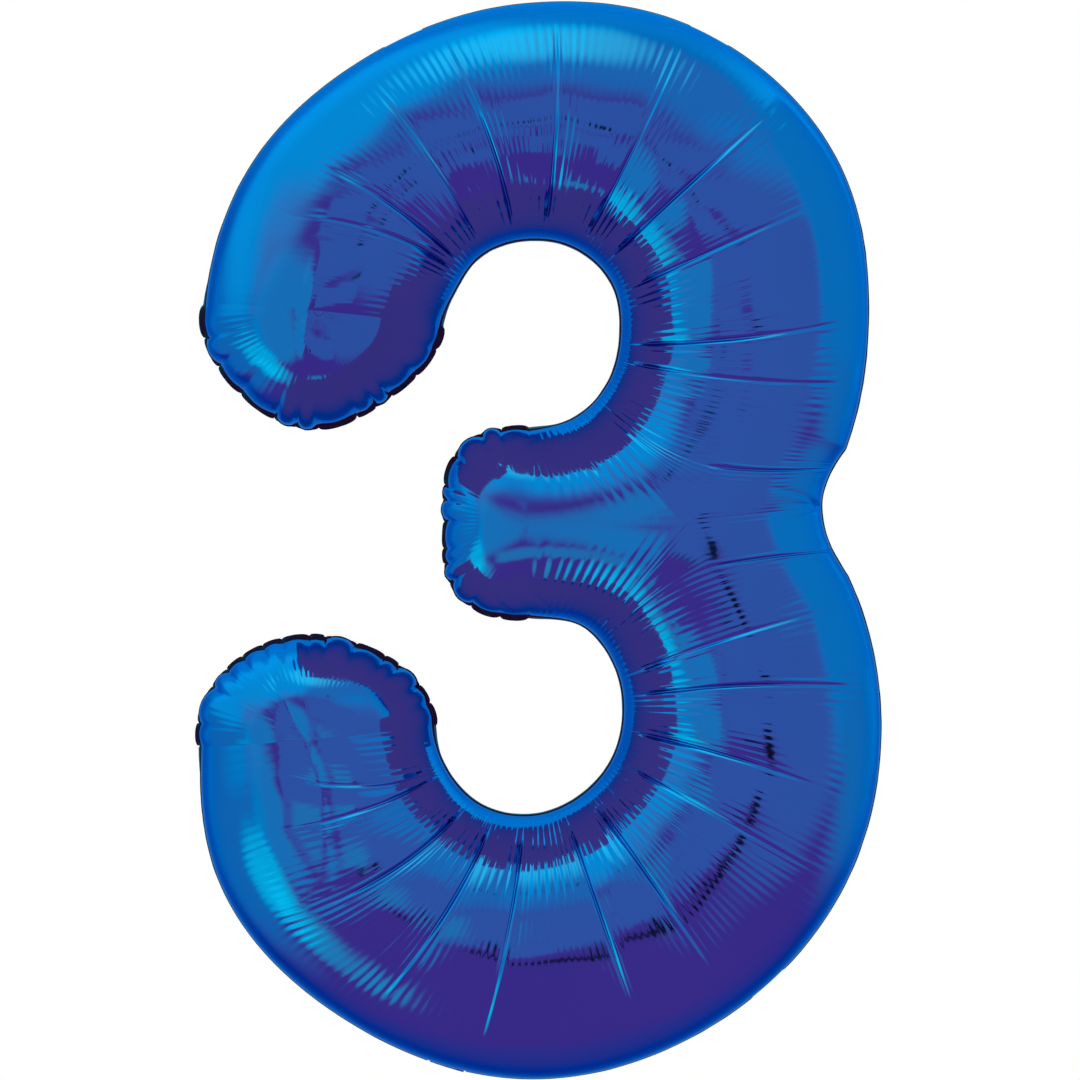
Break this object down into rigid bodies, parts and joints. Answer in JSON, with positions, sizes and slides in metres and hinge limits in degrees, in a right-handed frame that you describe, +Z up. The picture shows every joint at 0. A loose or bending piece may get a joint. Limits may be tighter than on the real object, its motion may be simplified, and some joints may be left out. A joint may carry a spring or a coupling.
{
  "type": "foil number balloon",
  "caption": "Inflated metallic foil balloon shaped as the digit three, with a welded seal rim, folding hang tabs with eyelets, a folding inflation tail and an inner check valve.",
  "frame": {"origin": "point on the seam plane midway between the roots of the two top hang tabs", "axes": "+Z up the digit, +X to the right of the digit seen from the front, the front faces -Y"},
  "size_m": [0.491, 0.1928, 0.7674],
  "materials": {
    "foil": "gloss",
    "rim_film": "gloss",
    "valve_film": "gloss"
  },
  "bodies": {
    "balloon": {"front_panel": "foil", "back_panel": "foil", "seal_rim": "rim_film", "valve_front_ply": "valve_film", "valve_back_ply": "valve_film"},
    "left_tab": {"hang_tab_left": "rim_film"},
    "right_tab": {"hang_tab_right": "rim_film"},
    "lower_tab": {"base_tab": "rim_film"},
    "tail": {"tail_front_ply": "foil", "tail_back_ply": "foil"}
  },
  "joints": [
    {"name": "left_tab_fold", "type": "hinge", "parent": "balloon", "child": "left_tab", "pos_m": [-0.10907, 0.0064, -0.00012], "axis": [0.8956, 0, 0.4449], "range_deg": [0, 170]},
    {"name": "right_tab_fold", "type": "hinge", "parent": "balloon", "child": "right_tab", "pos_m": [0.10911, 0.0064, 0.00153], "axis": [0.8745, 0, -0.4851], "range_deg": [0, 170]},
    {"name": "lower_tab_fold", "type": "hinge", "parent": "balloon", "child": "lower_tab", "pos_m": [0.15093, 0.0064, -0.67371], "axis": [-0.7232, 0, -0.6906], "range_deg": [0, 170]},
    {"name": "tail_fold", "type": "hinge", "parent": "balloon", "child": "tail", "pos_m": [-0.07795, 0, -0.73277], "axis": [-0.9547, 0, 0.2976], "range_deg": [0, 170]}
  ]
}
